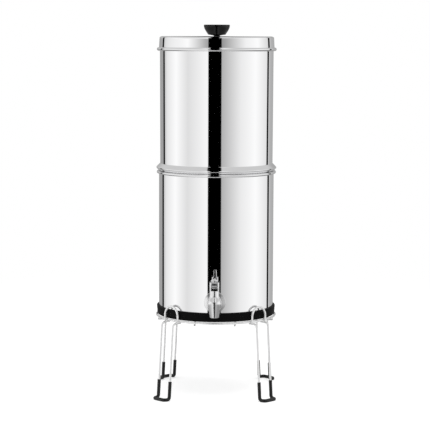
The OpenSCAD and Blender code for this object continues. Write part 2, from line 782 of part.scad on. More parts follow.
lower_chamber();
base_ring();
upper_chamber();
lid_shell();
lid_knob();
knob_screw();
knob_washer();
filter_block(-1);  // filter_block_left
filter_block(1);  // filter_block_right
filter_cap(-1);  // filter_cap_left
filter_cap(1);  // filter_cap_right
filter_seals();
filter_wing_nuts();
blanking_plugs();
plug_seals();
plug_wing_nuts();
tap_body();
tap_flange();
tap_outer_washer();
tap_inner_washer();
tap_backnut();
tap_bonnet();
lever_pin();
tap_lever();
valve_stem();
seat_cup();
return_spring();
stand_ring();
bars_front_back();
bars_side_side();
leg(0);  // leg_front_right
leg(1);  // leg_back_right
leg(2);  // leg_back_left
leg(3);  // leg_front_left
arch(0);  // arch_front_right
arch(1);  // arch_back_right
arch(2);  // arch_back_left
arch(3);  // arch_front_left
foot(0);  // foot_front_right
foot(1);  // foot_back_right
foot(2);  // foot_back_left
foot(3);  // foot_front_left
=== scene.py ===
import math
import bpy
import numpy as np
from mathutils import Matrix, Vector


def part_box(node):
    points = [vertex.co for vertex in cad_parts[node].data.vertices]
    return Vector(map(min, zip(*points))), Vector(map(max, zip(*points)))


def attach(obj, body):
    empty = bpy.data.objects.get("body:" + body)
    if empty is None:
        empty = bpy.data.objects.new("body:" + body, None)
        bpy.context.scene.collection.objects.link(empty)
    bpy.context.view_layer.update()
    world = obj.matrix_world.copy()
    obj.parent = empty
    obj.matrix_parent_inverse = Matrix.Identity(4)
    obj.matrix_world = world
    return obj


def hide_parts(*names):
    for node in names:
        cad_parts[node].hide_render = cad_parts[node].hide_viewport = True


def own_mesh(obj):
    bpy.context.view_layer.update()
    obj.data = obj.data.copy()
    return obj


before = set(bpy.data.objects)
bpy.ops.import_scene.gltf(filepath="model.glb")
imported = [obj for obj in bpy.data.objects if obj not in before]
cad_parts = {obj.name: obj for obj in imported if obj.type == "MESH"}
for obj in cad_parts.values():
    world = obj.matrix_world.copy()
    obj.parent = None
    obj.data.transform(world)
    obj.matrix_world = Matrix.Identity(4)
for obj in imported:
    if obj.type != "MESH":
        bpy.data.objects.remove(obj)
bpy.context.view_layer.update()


# --- Lower chamber -------------------------------------------------------------------------------
# A deep-drawn stainless steel pot, polished to a mirror on the wheel, which leaves very fine lines
# round it. Its rim is rolled outwards into a bead that carries the shoulder of the upper chamber.
mm = 0.001
sheet = 1 * mm
rim_bead = 5.2 * mm
floor_corner = 5 * mm
pot_low, pot_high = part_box("lower_chamber")
pot_r = pot_high.x - rim_bead + sheet


def arc(centre, radius, start, stop, steps=12):
    """Points of a round corner: centre + radius * (cos a, sin a), with a going from start to stop,
    in degrees."""
    a = np.radians(np.linspace(start, stop, steps + 1))
    return np.array(centre) + radius * np.stack([np.cos(a), np.sin(a)], axis=1)


def outline(*stretches, hold=0.4 * mm):
    """One outline through points and arcs. Each long straight stretch gets a holding point a short
    way in from both its ends, so that the smooth shading of a corner stays in the corner."""
    points = np.vstack([np.atleast_2d(stretch) for stretch in stretches])
    steps = np.diff(points, axis=0)
    lengths = np.linalg.norm(steps, axis=1)
    long = np.flatnonzero(lengths > 4 * hold)
    share = hold / lengths[long]
    order = np.concatenate([np.arange(len(points)), long + share, long + 1 - share])
    held = [points, points[long] + steps[long] * share[:, None],
            points[long] + steps[long] * (1 - share[:, None])]
    return np.vstack(held)[np.argsort(order)]


def quads(rows, cols, loop=False):
    """Corner numbers of the faces of a grid whose columns close into rings. With loop, its rows
    close as well."""
    i = np.arange(rows if loop else rows - 1)[:, None]
    j = np.arange(cols)[None, :]
    up, on = (i + 1) % rows, (j + 1) % cols
    corners = [i * cols + j, i * cols + on, up * cols + on, up * cols + j]
    return np.stack(corners, axis=-1).reshape(-1, 4).tolist()


def fan(ring, tip, outward):
    """Corner numbers of the triangles between a ring of points and the point that closes it."""
    after = np.roll(ring, -1)
    sides = (after, ring) if outward else (ring, after)
    return np.stack([*sides, np.full_like(ring, tip)], axis=1).tolist()


def turned(profile, centre=(0.0, 0.0), turns=192):
    """A profile of (radius, height) points turned about the upright line through centre: the point
    (r, z) at angle a comes to (x + r cos a, y + r sin a, z). A profile that begins and ends on that
    line closes there, and any other closes on itself."""
    here, there = profile, np.roll(profile, -1, axis=0)
    if np.sum(here[:, 0] * there[:, 1] - there[:, 0] * here[:, 1]) < 0:
        profile = profile[::-1]
    tips = profile[profile[:, 0] < 1e-9]
    rings = profile[profile[:, 0] >= 1e-9]
    a = np.linspace(0, 2 * np.pi, turns, endpoint=False)
    r, z = rings[:, 0, None], rings[:, 1, None]
    grid = np.stack([centre[0] + r * np.cos(a), centre[1] + r * np.sin(a), z + 0 * a], axis=-1)
    points = grid.reshape(-1, 3)
    faces = quads(len(rings), turns, loop=len(tips) == 0)
    if len(tips):
        last = len(points)
        ends = [[*centre, tips[0, 1]], [*centre, tips[-1, 1]]]
        points = np.vstack([points, ends])
        faces += fan(np.arange(turns), last, outward=True)
        faces += fan(np.arange(last - turns, last), last + 1, outward=False)
    return points, faces


def join(*parts):
    """Several parts, each a pair of points and faces, as one such pair."""
    starts = np.cumsum([0] + [len(points) for points, faces in parts])
    faces = [[corner + start for corner in face]
             for start, (points, part) in zip(starts, parts) for face in part]
    return np.vstack([points for points, part in parts]), faces


def piece(name, part, body, finish, nodes=(), crease=34):
    """An object of that part's points and faces, smooth across edges flatter than crease degrees.
    It rides on its body, takes its finish and slot, and replaces the named CAD nodes."""
    mesh = bpy.data.meshes.new(name)
    mesh.from_pydata(part[0].tolist(), [], part[1])
    mesh.shade_smooth()
    mesh.set_sharp_from_angle(angle=math.radians(crease))
    mesh.materials.append(finish)
    made = bpy.data.objects.new(name, mesh)
    bpy.context.collection.objects.link(made)
    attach(made, body)
    if nodes:
        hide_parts(*nodes)
    return made


class Flow:
    """A socket of a finish that takes part in sums: 1 - grain * 0.2 adds its own Math nodes."""

    def __init__(self, tree, socket):
        self.tree = tree
        self.socket = socket

    def node(self, kind, settings=None, inputs=None, output=0):
        """Adds a node of that kind. Its settings are set first, where stops are a ramp's places
        and levels, and then each input gets its value or its link."""
        made = self.tree.nodes.new(kind)
        for name, value in (settings or {}).items():
            if name == "stops":
                ramp = made.color_ramp
                while len(ramp.elements) < len(value):
                    ramp.elements.new(1.0)
                for stop, (place, level) in zip(ramp.elements, value):
                    stop.position = place
                    stop.color = (level, level, level, 1)
            else:
                setattr(made, name, value)
        for name, value in (inputs or {}).items():
            if isinstance(value, Flow):
                self.tree.links.new(value.socket, made.inputs[name])
            else:
                made.inputs[name].default_value = value
        return Flow(self.tree, made.outputs[output])

    def maths(self, operation, first, second=0.0):
        return self.node("ShaderNodeMath", {"operation": operation}, {0: first, 1: second})

    def __add__(self, other):
        return self.maths("ADD", self, other)

    def __radd__(self, other):
        return self.maths("ADD", other, self)

    def __sub__(self, other):
        return self.maths("SUBTRACT", self, other)

    def __rsub__(self, other):
        return self.maths("SUBTRACT", other, self)

    def __mul__(self, other):
        return self.maths("MULTIPLY", self, other)

    def __rmul__(self, other):
        return self.maths("MULTIPLY", other, self)

    def __pow__(self, other):
        return self.maths("POWER", self, other)

    def part(self, axis):
        """One of the three numbers of a place: 0 is X, 1 is Y and 2 is Z."""
        return self.node("ShaderNodeSeparateXYZ", {}, {0: self}, axis)

    def noise(self, scale, detail=2.0, rough=0.5):
        """Even cloudy noise from 0 to 1 at this place, with scale waves a metre."""
        return self.node("ShaderNodeTexNoise", {},
                         {"Vector": self, "Scale": scale, "Detail": detail, "Roughness": rough})

    def streaks(self, scale):
        """Noise from 0 to 1 along one number, which draws lines wherever that number is even."""
        return self.node("ShaderNodeTexNoise", {"noise_dimensions": "1D"},
                         {"W": self, "Scale": scale, "Detail": 3.0})

    def ramp(self, *stops):
        """Follows a row of (place, level) stops from 0 to 1."""
        return self.node("ShaderNodeValToRGB", {"stops": stops}, {"Fac": self})

    def shade(self, dark, light):
        """A colour between two, dark where this number is 0 and light where it is 1."""
        return self.node("ShaderNodeMix", {"data_type": "RGBA"},
                         {"Factor": self, 6: (*dark, 1), 7: (*light, 1)}, 2)

    def bump(self, height):
        """The surface's normal, tilted as if this number from 0 to 1 raised it by height."""
        return self.node("ShaderNodeBump", {}, {"Distance": height, "Height": self})


def new_finish(name, fixed):
    """A finish on the Principled shader with its fixed numbers set on the shader's own sockets.
    Gives back the finish, the place on the object, and a function that feeds a socket."""
    finish = bpy.data.materials.new(name)
    finish.use_nodes = True
    tree = finish.node_tree
    shader = tree.nodes["Principled BSDF"]
    for socket, value in fixed.items():
        shader.inputs[socket].default_value = value
    place = Flow(tree, tree.nodes.new("ShaderNodeTexCoord").outputs["Object"])

    def feed(socket, flow):
        tree.links.new(flow.socket, shader.inputs[socket])

    return finish, place, feed


def steel_finish(name, light, rough, line_depth, line_scale, metal=1.0, lined_r=0.0):
    """Turned and polished steel. Fine lines run round the axis, on a wall by the height and on a
    flat top by the distance from the axis, and cloudy patches vary the gloss. Nearer to the axis
    than lined_r it is a vessel's inside, which stays as dull as it came from the press."""
    finish, place, feed = new_finish(name, {"Metallic": metal})
    x, y, z = place.part(0), place.part(1), place.part(2)
    radius = (x * x + y * y) ** 0.5
    lines = (z.streaks(line_scale) + radius.streaks(line_scale)) * 0.5
    clouds = place.noise(9.0, 3.0)
    dark = [level * 0.96 for level in light]
    gloss = rough + (clouds - 0.5) * rough * 0.5 + (lines - 0.5) * rough * 0.6
    if lined_r:
        lining = place.maths("LESS_THAN", radius, lined_r)
        gloss = gloss + lining * 0.3
        feed("Metallic", metal - lining * 0.3)
    feed("Base Color", (clouds * 0.5 + lines * 0.5).shade(dark, light))
    feed("Roughness", gloss)
    feed("Normal", lines.bump(line_depth))
    return finish


mirror = ((0.9, 0.9, 0.905), 0.035, 0.0004 * mm, 1400.0)
pot_steel = steel_finish("pot_steel", *mirror, lined_r=pot_r - sheet / 2)

bead_r = rim_bead / 2
bead_mid = (pot_r - sheet + bead_r, pot_high.z - bead_r)
bead_join = 180 + math.degrees(math.acos((bead_r - sheet) / bead_r))
corner_mid = (pot_r - floor_corner, pot_low.z + floor_corner)
pot_outline = outline(
    (0, pot_low.z), arc(corner_mid, floor_corner, -90, 0),
    arc(bead_mid, bead_r, bead_join - 360, 180, 36),
    arc(corner_mid, floor_corner - sheet, 0, -90), (0, pot_low.z + sheet))
piece("lower_chamber_shell", turned(pot_outline, turns=256), "lower_tank", pot_steel,
      ["lower_chamber"])


# --- Base ring -----------------------------------------------------------------------------------
# A band of black rubber, moulded in one piece and stretched over the foot of the lower chamber. Its
# lip turns in under the chamber, which then stands softly on the wire stand.
band_low, band_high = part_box("base_ring")
lip_t = 2 * mm
lip_w = 10 * mm
band_taper = 1 * mm
band_round = 1.4 * mm
rubber, place, feed = new_finish("band_rubber", {"Specular IOR Level": 0.05})
speckle = place.noise(700.0, 3.0)
wiped = place.noise(14.0, 2.0)
feed("Base Color", wiped.shade((0.002, 0.002, 0.002), (0.004, 0.004, 0.0042)))
feed("Roughness", 0.42 + wiped * 0.14)
feed("Normal", speckle.bump(0.04 * mm))
band_outline = outline(
    (pot_r - lip_w, band_low.z),
    arc((band_high.x - band_taper - band_round, band_low.z + band_round), band_round, -90, 0, 8),
    arc((band_high.x - band_round, band_high.z - band_round), band_round, 0, 90, 8),
    (pot_r + 0.05 * mm, band_high.z), (pot_r + 0.05 * mm, band_low.z + lip_t),
    (pot_r - lip_w, band_low.z + lip_t), (pot_r - lip_w, band_low.z))[:-1]
piece("base_band", turned(band_outline), "lower_tank", rubber, ["base_ring"])


# --- Upper chamber -------------------------------------------------------------------------------
# The same drawn and polished steel, a little narrower. A shoulder is pressed out of its wall, with
# a sloping top and a rolled nose, and rests on the lower chamber's bead.
tub_low, tub_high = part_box("upper_chamber")
tub_r = 105.7 * mm
tub_flare = 0.7 * mm
shoulder_band = 6.4 * mm
nose_r = 2 * mm
neck_round = 0.9 * mm
nest_depth = 24.7 * mm
collar_z = tub_low.z + nest_depth
cone_foot_z = collar_z + shoulder_band
cone_head_z = cone_foot_z + tub_high.x - tub_r
round_rise = math.tan(math.radians(22.5))
nose_mid = np.array([tub_high.x - nose_r, cone_foot_z - nose_r * round_rise])
neck_mid = (tub_r + neck_round, cone_head_z + neck_round * round_rise)
foot_mid = (tub_r - floor_corner, tub_low.z + floor_corner)
rim_mid = (tub_r + tub_flare - sheet / 2, tub_high.z - sheet / 2)
way_down = np.array([math.sqrt(0.5), -math.sqrt(0.5)])


def under_cone(radius, z):
    """Where the slope below the nose, drawn at that radius round its middle, comes to height z."""
    start = nose_mid + way_down * radius
    return start[0] - (start[1] - z), z


tub_outline = outline(
    (0, tub_low.z), arc(foot_mid, floor_corner, -90, 0), (tub_r, collar_z),
    under_cone(nose_r, collar_z), arc(nose_mid, nose_r, -45, 45, 16),
    arc(neck_mid, neck_round, 225, 180, 8), arc(rim_mid, sheet / 2, 0, 180, 10),
    (tub_r - sheet, cone_head_z), arc(nose_mid, nose_r - sheet, 45, -45, 8),
    under_cone(nose_r - sheet, collar_z + sheet), (tub_r - sheet, collar_z + sheet),
    arc(foot_mid, floor_corner - sheet, 0, -90), (0, tub_low.z + sheet))
tub_steel = steel_finish("tub_steel", *mirror, lined_r=tub_r - sheet / 4)
piece("upper_chamber_shell", turned(tub_outline, turns=256), "upper_tank", tub_steel,
      ["upper_chamber"])


# --- Lid -----------------------------------------------------------------------------------------
# A spun steel cap that drops over the upper chamber's rim. The skirt ends in a half-round bead, and
# the flat top shows the rings that the polishing wheel leaves.
lid_low, lid_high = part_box("lid_shell")
skirt_r = lid_high.x - 4 * mm
hem_r = 3.25 * mm
hem_mid = (lid_high.x - hem_r, lid_low.z + hem_r)
hem_join = math.degrees(math.acos((skirt_r - hem_mid[0]) / hem_r))
inside_join = math.degrees(math.acos((skirt_r - sheet - hem_mid[0]) / hem_r))
skirt_lean = 0.9 * mm
outer_corner = 5 * mm
inner_corner = 2 * mm
outer_mid = (skirt_r - skirt_lean - outer_corner, lid_high.z - outer_corner)
inner_mid = (skirt_r - sheet - inner_corner, lid_high.z - sheet - inner_corner)
lid_outline = outline(
    (0, lid_high.z - sheet), arc(inner_mid, inner_corner, 90, 0),
    arc(hem_mid, hem_r, 360 - inside_join, 360 + hem_join, 28),
    arc(outer_mid, outer_corner, 2, 90, 16), (0, lid_high.z))
lid_steel = steel_finish("lid_steel", *mirror)
piece("lid_cap", turned(lid_outline, turns=256), "lid", lid_steel,
      ["lid_shell"])


# --- Knob ----------------------------------------------------------------------------------------
# A bowl-shaped grip, pressed from black phenolic resin, with a short neck that stands on the lid. A
# slotted screw and a fibre washer hold it from below.
knob_low, knob_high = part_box("lid_knob")
neck_r = 5.8 * mm
neck_h = 3 * mm
bowl_foot_r = 17 * mm
bowl_edge = 1.4 * mm
resin, place, feed = new_finish("knob_resin", {"Specular IOR Level": 0.04, "Coat Roughness": 0.14})
haze = place.noise(60.0, 3.0)
peel = place.noise(420.0, 1.0)
feed("Base Color", haze.shade((0.001, 0.001, 0.001), (0.003, 0.003, 0.003)))
feed("Roughness", 0.2 + haze * 0.12)
feed("Coat Weight", 0.3 + haze * 0.3)
feed("Normal", peel.bump(0.012 * mm))
bowl_z = knob_low.z + neck_h
swell = np.radians(np.linspace(12, 90, 20))
bowl_top_r = knob_high.x
bowl_rise = knob_high.z - bowl_z - 2 * bowl_edge
bowl_side = np.stack([
    bowl_foot_r + (bowl_top_r - bowl_foot_r) * np.sin(swell),
    bowl_z + bowl_edge + bowl_rise * np.degrees(swell) / 90], axis=1)
knob_outline = outline(
    (0, knob_low.z), (neck_r, knob_low.z), (neck_r, knob_low.z + 0.6 * mm),
    arc((neck_r + 0.8 * mm, knob_low.z + 0.6 * mm), 0.8 * mm, 180, 100, 5),
    arc((bowl_foot_r - bowl_edge, bowl_z + bowl_edge), bowl_edge, -80, -25, 6), bowl_side,
    arc((bowl_top_r - bowl_edge, knob_high.z - bowl_edge), bowl_edge, 8, 90, 8),
    (0, knob_high.z))
piece("knob_bowl", turned(knob_outline, turns=128), "lid", resin, ["lid_knob"])

fibre, place, feed = new_finish("fibre_washer", {"Roughness": 0.7})
feed("Base Color", place.noise(900.0).shade((0.01, 0.01, 0.01), (0.03, 0.028, 0.026)))
washer_low, washer_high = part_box("knob_washer")
washer_outline = outline(
    (0, washer_low.z), arc((washer_high.x - 0.3 * mm, washer_low.z + 0.3 * mm), 0.3 * mm, -90, 0, 4),
    arc((washer_high.x - 0.3 * mm, washer_high.z - 0.3 * mm), 0.3 * mm, 0, 90, 4),
    (0, washer_high.z))
piece("knob_washer_disc", turned(washer_outline, turns=64), "lid", fibre,
      ["knob_washer"])


# --- Filter elements -----------------------------------------------------------------------------
# Two moulded cylinders of black carbon stand on the upper chamber's floor, each glued into a ribbed
# plastic end cap whose threaded stem goes down through the floor.
carbon, place, feed = new_finish("pressed_carbon", {"Specular IOR Level": 0.3})
grit = place.noise(1100.0, 5.0, 0.7)
patches = place.noise(45.0, 2.0)
feed("Base Color", grit.shade((0.006, 0.006, 0.006), (0.03, 0.03, 0.03)))
feed("Roughness", 0.78 + patches * 0.15)
feed("Normal", grit.bump(0.35 * mm))
dark_plastic, place, feed = new_finish("dark_plastic", {"IOR": 1.5})
grain = place.noise(600.0, 2.0)
feed("Base Color", grain.shade((0.012, 0.012, 0.012), (0.02, 0.02, 0.02)))
feed("Roughness", 0.34 + grain * 0.12)
feed("Normal", grain.bump(0.03 * mm))
block_dome = 5 * mm
cap_ribs = 24
rib_depth = 0.6 * mm
stem_r = 6 * mm
thread_pitch = 1.75 * mm


def threaded(radius, depth, low, high, centre, pitch=thread_pitch, turns=36):
    """A screw thread: the radius falls by depth times a triangle wave of height / pitch less the
    turn, so that the wave climbs by one pitch a turn. The wave dies out at both ends."""
    rows = int((high - low) / pitch * 8)
    z = np.linspace(low, high, rows)[:, None]
    a = np.linspace(0, 2 * np.pi, turns, endpoint=False)[None, :]
    phase = (z - low) / pitch - a / (2 * np.pi)
    wave = 2 * np.abs(phase - np.floor(phase) - 0.5)
    fade = np.clip(np.minimum(z - low, high - z) / pitch, 0, 1)
    r = radius - depth * (1 - fade + fade * wave)
    grid = np.stack([centre[0] + r * np.cos(a), centre[1] + r * np.sin(a), z + 0 * a], axis=-1)
    last = rows * turns
    points = np.vstack([grid.reshape(-1, 3), [[*centre, low], [*centre, high]]])
    faces = quads(rows, turns) + fan(np.arange(turns), last, outward=True)
    return points, faces + fan(np.arange(last - turns, last), last + 1, outward=False)


def ribbed(radius, low, high, ribs, depth, centre, edge=1 * mm):
    """A round cap whose side is drawn in by depth between its ribs: the radius is the outline's
    less depth times the square of the sine of half the ribs' angle."""
    profile = outline((0, low), arc((radius - edge, low + edge), edge, -90, 0, 5),
                      arc((radius - edge, high - edge), edge, 0, 90, 5), (0, high))
    points, faces = turned(profile, turns=ribs * 8)
    a = np.arctan2(points[:, 1], points[:, 0])
    r = np.hypot(points[:, 0], points[:, 1])
    side = np.clip((r - radius + 2 * edge) / edge, 0, 1)
    r = r - side * depth * np.sin(a * ribs / 2) ** 2
    moved = np.stack([centre[0] + r * np.cos(a), centre[1] + r * np.sin(a), points[:, 2]], axis=1)
    return moved, faces


for side in ("left", "right"):
    low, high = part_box("filter_block_" + side)
    middle = ((low.x + high.x) / 2, 0.0)
    block_r = (high.x - low.x) / 2
    block_outline = outline(
        (0, low.z), arc((block_r - 1 * mm, low.z + 1 * mm), 1 * mm, -90, 0, 4),
        arc((block_r - block_dome, high.z - block_dome), block_dome, 0, 90), (0, high.z))
    piece("carbon_block_" + side, turned(block_outline, middle, 96), "upper_tank", carbon,
          ["filter_block_" + side])
    low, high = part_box("filter_cap_" + side)
    cap_z = high.z - 12 * mm
    piece("element_cap_" + side, join(
        ribbed((high.x - low.x) / 2, cap_z, high.z, cap_ribs, rib_depth, middle),
        threaded(stem_r, 0.7 * mm, low.z, cap_z + 0.5 * mm, middle)),
        "upper_tank", dark_plastic, ["filter_cap_" + side])


# --- Blanking plugs, seals and wing nuts ---------------------------------------------------------
# The two spare outlets are shut by plastic plugs. A silicone washer seals each of the four stems on
# the floor, and a white plastic wing nut pulls it tight from below.
silicone, place, feed = new_finish("clear_silicone", {"IOR": 1.41})
milky = place.noise(80.0)
feed("Base Color", milky.shade((0.5, 0.5, 0.48), (0.62, 0.62, 0.6)))
feed("Roughness", 0.35 + milky * 0.15)
feed("Normal", milky.bump(0.05 * mm))
pale_plastic, place, feed = new_finish("pale_plastic", {"IOR": 1.5})
grain = place.noise(500.0)
feed("Base Color", grain.shade((0.68, 0.68, 0.66), (0.76, 0.76, 0.74)))
feed("Roughness", 0.34 + grain * 0.1)
feed("Normal", grain.bump(0.02 * mm))
hub_r = 10 * mm
wing_reach = 17 * mm
seal_r = 14 * mm
seal_round = 0.8 * mm
wing_t = 3 * mm
nut_turn = 35
outlet_off = 48 * mm


def soft_slab(plan, low, high, edge):
    """An upright slab over a closed plan of (x, y) points, which runs anticlockwise. At the bottom
    and the top its outline is drawn in along the plan's own normals in a quarter round of edge."""
    along = np.roll(plan, -1, axis=0) - np.roll(plan, 1, axis=0)
    normals = np.stack([along[:, 1], -along[:, 0]], axis=1)
    normals /= np.linalg.norm(normals, axis=1, keepdims=True)
    a = np.radians(np.linspace(0, 90, 5))
    inset = edge * np.concatenate([1 - np.sin(a), 1 - np.cos(a)])
    z = np.concatenate([low + edge * (1 - np.cos(a)), high - edge + edge * np.sin(a)])
    flat = plan[None] - inset[:, None, None] * normals[None]
    heights = np.broadcast_to(z[:, None, None], (len(z), len(plan), 1))
    points = np.concatenate([flat, heights], axis=2).reshape(-1, 3)
    count, last = len(plan), len(points)
    faces = quads(len(z), count)
    return points, faces + [list(range(count))[::-1], list(range(last - count, last))]


def placed(part, turn=0.0, move=(0, 0, 0), axis=2):
    """The part turned about one axis through the origin, in degrees, and then moved."""
    c, s = math.cos(math.radians(turn)), math.sin(math.radians(turn))
    first, second = [k for k in range(3) if k != axis]
    if axis == 1:
        s = -s
    points = part[0].copy()
    points[:, first] = part[0][:, first] * c - part[0][:, second] * s
    points[:, second] = part[0][:, first] * s + part[0][:, second] * c
    return points + np.array(move), part[1]


def stadium(length, width, steps=10):
    """The plan of a bar with round ends, centred on the origin and lying along X."""
    reach = length / 2 - width / 2
    return np.vstack([arc((reach, 0), width / 2, -90, 90, steps),
                      arc((-reach, 0), width / 2, 90, 270, steps)])


def wing_nut(x, y, low, high, turn):
    """A hub with a ring of small flutes and two rounded wings that cross it as one bar."""
    wings = soft_slab(stadium(2 * wing_reach, wing_t), low, high - 1 * mm, 0.8 * mm)
    hub = ribbed(hub_r, low, high, 16, 0.3 * mm, (0.0, 0.0), edge=0.8 * mm)
    return placed(join(hub, wings), turn, (x, y, 0))


for kind, spots, turn in (("filter", ((-1, 0), (1, 0)), nut_turn),
                          ("plug", ((0, -1), (0, 1)), nut_turn + 90)):
    low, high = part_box(kind + "_seals")
    seal_outline = outline(
        (stem_r, low.z), arc((seal_r - seal_round, low.z + seal_round), seal_round, -90, 0, 5),
        arc((seal_r - seal_round, high.z - seal_round), seal_round, 0, 90, 5), (stem_r, high.z))
    piece(kind + "_washers", join(*[
        turned(seal_outline, (x * outlet_off, y * outlet_off), 64) for x, y in spots]),
        "upper_tank", silicone, [kind + "_seals"])
    low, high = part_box(kind + "_wing_nuts")
    piece(kind + "_winged_nuts", join(*[
        wing_nut(x * outlet_off, y * outlet_off, low.z, high.z, turn) for x, y in spots]),
        "upper_tank", pale_plastic, [kind + "_wing_nuts"])

low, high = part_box("blanking_plugs")
plug_z = high.z - 7 * mm
piece("outlet_plugs", join(*[join(
    ribbed(12 * mm, plug_z, high.z, 20, 0.4 * mm, (0, y)),
    threaded(stem_r, 0.7 * mm, low.z, plug_z + 0.5 * mm, (0, y)))
    for y in (-outlet_off, outlet_off)]),
    "upper_tank", dark_plastic, ["blanking_plugs"])


# --- Tap body ------------------------------------------------------------------------------------
# A cast stainless steel bulb that tapers to the spout, turned smooth and polished. Its barrel flows
# out of the bulb, passes the flange, and goes on as a threaded shank through the chamber's wall.
tap_steel = steel_finish("tap_steel", (0.82, 0.82, 0.825), 0.13, 0.002 * mm, 900.0)
tap_low, tap_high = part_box("tap_body")
bulb_r = (tap_high.x - tap_low.x) / 2
spout_y = tap_low.y + bulb_r
spout = (0.0, spout_y)
spout_drop = 22.5 * mm
shank_z = tap_low.z + spout_drop
bulb_rise = 4 * mm
bulb_z = shank_z + bulb_rise
mouth_r = 8.5 * mm
lip = 0.8 * mm
tap_neck_r = 8.6 * mm
tap_neck_h = 8 * mm
tap_neck_round = 0.4 * mm
neck_z = tap_high.z - tap_neck_h
outlet_r = 5 * mm
barrel_r = 8.5 * mm
shank_r = 7.9 * mm
flange_low, flange_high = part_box("tap_flange")


def bulb_side(steps=24):
    """The bulb's outline. Below its widest place the radius swells from the mouth by 1 less the
    1.25th power of the way left. Above, it follows half a cosine wave in to the neck."""
    t = np.linspace(0, 1, steps)
    mouth_top = tap_low.z + lip
    lower = bulb_r - (bulb_r - mouth_r) * (1 - t) ** 1.25
    upper = bulb_r + (tap_neck_r - bulb_r) * (1 - np.cos(np.pi * t)) / 2
    return np.vstack([np.stack([lower, mouth_top + (bulb_z - mouth_top) * t], axis=1),
                      np.stack([upper, bulb_z + (neck_z - bulb_z) * t], axis=1)[1:]])


bulb_outline = outline(
    (0, shank_z - 6 * mm), (outlet_r, shank_z - 8 * mm),
    arc((outlet_r + lip, tap_low.z + lip), lip, 180, 270, 5),
    arc((mouth_r - lip, tap_low.z + lip), lip, -90, 0, 5), bulb_side(),
    arc((tap_neck_r - tap_neck_round, tap_high.z - tap_neck_round), tap_neck_round, 0, 90, 4),
    (0, tap_high.z))
flare = np.linspace(0, 1, 14)[:, None]
flare_w = 2.6 * mm
barrel_end = spout_y + 9 * mm
flare_start = spout_y + 17 * mm
flare_side = np.hstack([barrel_r + flare_w * (1 - flare) ** 2.2,
                        barrel_end + (flare_start - barrel_end) * flare])
barrel_outline = outline(
    (0, barrel_end), flare_side, (barrel_r, flange_low.y), (shank_r - 0.2 * mm, flange_low.y),
    (shank_r - 0.2 * mm, flange_high.y + 2 * mm), (0, flange_high.y + 2 * mm))
barrel = placed(turned(barrel_outline, turns=96), -90, (0, 0, shank_z), axis=0)
shank = placed(threaded(shank_r, 0.8 * mm, flange_high.y, tap_high.y, (0.0, 0.0), turns=64),
               -90, (0, 0, shank_z), axis=0)
piece("tap_casting", join(turned(bulb_outline, spout, 128), barrel, shank), "lower_tank",
      tap_steel, ["tap_body"])


# --- Tap flange, washers and backing nut ---------------------------------------------------------
# The flange is a domed steel plate that hides the hole in the wall. A rubber washer under it and a
# silicone one inside take up the wall's curve, and a hexagon nut pulls them together.
flange_r = flange_high.x
dome = flange_high.y - flange_low.y
dome_r = 100 * mm
dome_edge = 0.6 * mm
rim_mid = (flange_r - dome_edge, dome - dome_r + math.sqrt((dome_r - dome_edge) ** 2
                                                          - (flange_r - dome_edge) ** 2))
dome_start = math.degrees(math.acos(rim_mid[0] / (dome_r - dome_edge)))
flange_outline = outline(
    (0, 0), (flange_r, 0), arc(rim_mid, dome_edge, 0, dome_start, 6),
    arc((0, dome - dome_r), dome_r, dome_start, 90, 20))
piece("tap_rosette", placed(turned(flange_outline, turns=128), 90,
                            (0, flange_high.y, shank_z), axis=0),
      "lower_tank", tap_steel, ["tap_flange"])

seal_rubber, place, feed = new_finish("washer_rubber", {"Specular IOR Level": 0.3})
dust = place.noise(300.0)
feed("Base Color", dust.shade((0.012, 0.012, 0.012), (0.025, 0.025, 0.025)))
feed("Roughness", 0.5 + dust * 0.2)
feed("Normal", dust.bump(0.05 * mm))
for name, finish in (("tap_outer_washer", seal_rubber), ("tap_inner_washer", silicone)):
    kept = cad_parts[name]
    kept.data.materials.clear()
    kept.data.materials.append(finish)

nut_low, nut_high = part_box("tap_backnut")
nut_t = nut_high.y - nut_low.y
nut_flat = (nut_high.z - nut_low.z) / 2


def hex_nut(flat, thick, bore):
    """A hexagon nut with turned corners: the radius is the lesser of the hexagon's, flat / cos a
    from the middle of each side, and a cone's that is cut across both faces."""
    a = np.linspace(0, 2 * np.pi, 96, endpoint=False)[None, :]
    reach = flat / np.cos((a + np.pi / 6) % (np.pi / 3) - np.pi / 6)
    z = np.array([0, 0, 0.5 * mm, 1 * mm, thick - 1 * mm, thick - 0.5 * mm, thick, thick])[:, None]
    cone = flat + np.minimum(z, thick - z) * 1.8
    r = np.minimum(reach, cone)
    r[0] = r[-1] = bore
    grid = np.stack([r * np.cos(a), r * np.sin(a), z + 0 * a], axis=-1)
    return grid.reshape(-1, 3), quads(len(z), 96, loop=True)


piece("tap_hexagon_nut", placed(hex_nut(nut_flat, nut_t, shank_r + 0.1 * mm), -90,
                                (0, nut_low.y, shank_z), axis=0),
      "lower_tank", tap_steel, ["tap_backnut"], crease=25)


# --- Tap bonnet ----------------------------------------------------------------------------------
# A square steel block with rounded corners, screwed into the top of the body. A slot milled along
# it leaves two ears, and the lever swings between them on a short pressed-in pin.
bonnet_low, bonnet_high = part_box("tap_bonnet")
lever_low, lever_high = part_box("tap_lever")
block_w = bonnet_high.x - bonnet_low.x
block_l = bonnet_high.y - bonnet_low.y
lever_w = lever_high.x - lever_low.x
slot_w = lever_w + 0.6 * mm
body_top = tap_high.z
floor_t = 4 * mm
slot_z = body_top + floor_t
block_corner = 2.5 * mm
plug_r = 6.5 * mm
plug_sink = 1 * mm
block_edge = 0.35 * mm


def rounded_plan(width, depth, corner, steps=8):
    """The plan of a rectangle with round corners, centred on the origin."""
    x, y = width / 2 - corner, depth / 2 - corner
    spots = (((x, y), 0), ((-x, y), 90), ((-x, -y), 180), ((x, -y), 270))
    return np.vstack([arc(spot, corner, start, start + 90, steps) for spot, start in spots])


